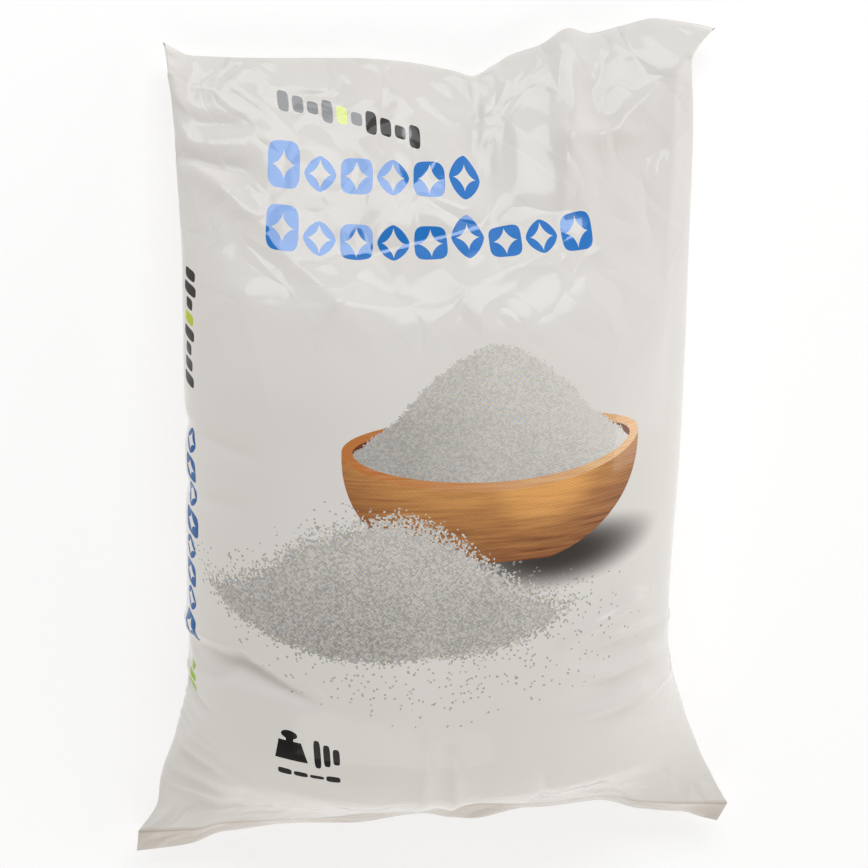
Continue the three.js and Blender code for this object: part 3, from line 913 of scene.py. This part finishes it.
def side_print(finish, base, s, t):
    """Bars, tiles and three leaves of green down the left side."""
    bars, cell = bar_row(SIDE_BARS, t, s)
    base = finish.blend(bars, base, bar_colour(finish, cell, SIDE_BAR_TONES))
    tiles = tile_row(SIDE_TILES, t, s, SIDE_TILE_COUNT, SIDE_LINE)
    base = finish.blend(tiles, base, SIDE_TILE_BLUE)
    leaves, _ = bar_row(SIDE_LEAVES, t, s)
    return finish.blend(leaves, base, LEAF_GREEN)


def film_relief(finish, s, t):
    """The wrinkles of the film in millimetres: most by its ends and sides, and few where it is tight."""
    place = finish.place(s, t)
    by_end = 1 - t.at_most(FILM_LENGTH - t).step(*WRINKLED_BY_END)
    by_side = 1 - abs(abs(s) - FILM_ROUND / 4).step(*WRINKLED_BY_SIDE)
    loose = by_end.at_least(by_side * 0.6).at_least(LEAST_LOOSE)
    warp = finish.noise(place, *WARPS)
    shift = finish.place(warp * WARP[0], warp * WARP[1])
    bent = finish.node("ShaderNodeVectorMath", {"operation": "ADD"}, {0: place, 1: shift})
    facets = finish.cells(bent, FACETS_PER_MM, {"distance": "CHEBYCHEV"})
    ridges = abs(finish.noise(bent, *RIDGES) - 0.5)
    pebbles = finish.noise(place, *PEBBLES)
    hollow = t.step(*FREE_OF_FILL)
    creases = loose.at_least(hollow * 1.2) * facets * FACET_HEIGHT - loose * ridges * RIDGE_DEPTH
    return creases + warp * WARP_HEIGHT + (1 - hollow) * pebbles * PEBBLE_HEIGHT


def printed_film():
    """White plastic film, glossy where it is printed, with painted shade on the bottom seal and a painted
    shadow line along its root.
    """
    finish = Finish(bpy.data.materials.new("printed film"))
    sheet = finish.node("ShaderNodeUVMap", {"uv_map": SHEET_MAP})
    s = (finish.axis(sheet, 0) - 0.5) * FILM_ROUND
    t = finish.axis(sheet, 1) * SHEET_LENGTH - BOTTOM_SEAL_LENGTH
    mottle = finish.noise(finish.place(s, t), *MOTTLE)
    base = finish.blend(mottle, *FILM_WHITES)
    base, picture_ink = picture_print(finish, base, s, t)
    base, front_ink = front_print(finish, base, s, t)
    base = side_print(finish, base, s, t)
    # Painted shade: the bottom seal is darkened where it lies in shade under the bag, and a painted shadow
    # line darkens the crease at its root.
    painted_seal_shade = (t < 0) * 0.5 + (1 - abs(t).step(*SEAL_ROOT_SHADOW)) * 0.4
    base = finish.blend(painted_seal_shade, base, SEAL_SHADE_TINT)
    return finish.surface(
        Base_Color=base,
        Roughness=mottle * FILM_ROUGHNESS + FILM_ROUGHNESS,
        Specular_IOR_Level=0.2,
        Coat_Weight=front_ink.at_least(picture_ink),
        Coat_Roughness=0.04,
        Coat_IOR=1.6,
        Normal=finish.bump(film_relief(finish, s, t), MM),
    )


def pale_floor():
    """A plain floor that glows a little, so that it stays pale round the bag."""
    return Finish(bpy.data.materials.new("pale floor")).surface(
        Base_Color=FLOOR_COLOUR,
        Roughness=0.9,
        Specular_IOR_Level=0.1,
        Emission_Color=(1, 1, 1, 1),
        Emission_Strength=FLOOR_GLOW,
    )


# ---- The stage ---------------------------------------------------------------------------------------------


def direction(left, back):
    """The direction of something seen that many degrees to the left, and that many to the bag's top."""
    left, back = math.radians(left), math.radians(back)
    return Vector((-math.sin(left) * math.cos(back), math.sin(back), math.cos(left) * math.cos(back)))


def set_camera():
    """The camera over the printed side, turned as the bag was seen."""
    back = direction(*CAMERA_TURN)
    bpy.ops.object.camera_add(location=CAMERA_TARGET + back * CAMERA_DISTANCE)
    camera = bpy.context.object
    right = Vector((0, 1, 0)).cross(back).normalized()
    up = back.cross(right)
    camera.rotation_euler = Matrix((right, up, back)).transposed().to_euler()
    camera.data.sensor_width = SENSOR_WIDTH
    camera.data.lens = SENSOR_WIDTH * CAMERA_DISTANCE / VIEW_WIDTH
    camera.data.clip_start = CLIP_START
    bpy.context.scene.camera = camera


def add_softbox(name, left, back, distance, width, height, radiance, light_colour):
    """A soft light that faces the bag. Its power follows from how bright its face is."""
    towards = direction(left, back)
    bpy.ops.object.light_add(type="AREA", location=BAG_CENTRE + towards * distance)
    light = bpy.context.object
    light.name = name
    light.rotation_euler = towards.to_track_quat("Z", "Y").to_euler()
    light.data.shape = "RECTANGLE"
    light.data.size, light.data.size_y = width, height
    light.data.energy = radiance * math.pi * width * height
    light.data.color = light_colour


def studio_walls():
    """A room that is brighter by its walls than overhead, and darker to the bag's left and past its top."""
    finish = Finish(bpy.data.worlds.new("studio"))
    way = finish.node("ShaderNodeTexCoord", None, None, "Generated")
    right, back, up = (finish.axis(way, index) for index in range(3))
    low = 1 - up * up
    strength = (low * low * WALL_GLOW + CEILING_GLOW) * (right * LEFT_SHADE + 1 - back * TOP_SHADE)
    light = {"Color": WALL_COLOUR, "Strength": strength}
    finish.node("ShaderNodeOutputWorld", None, {"Surface": finish.node("ShaderNodeBackground", None, light)})
    return finish.owner


def set_stage():
    """The floor, the lights and the room."""
    bpy.ops.object.select_all(action="DESELECT")
    bpy.ops.mesh.primitive_plane_add(size=FLOOR_SIZE)
    floor = bpy.context.object
    floor.name = "floor"
    floor.data.materials.append(pale_floor())
    for softbox in SOFTBOXES:
        add_softbox(*softbox)
    bpy.context.scene.world = studio_walls()
    bpy.context.scene.view_settings.view_transform = "Standard"


film = make_film()
film.data.materials.append(printed_film())
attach(film, "root")
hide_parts("bag")
set_stage()
set_camera()
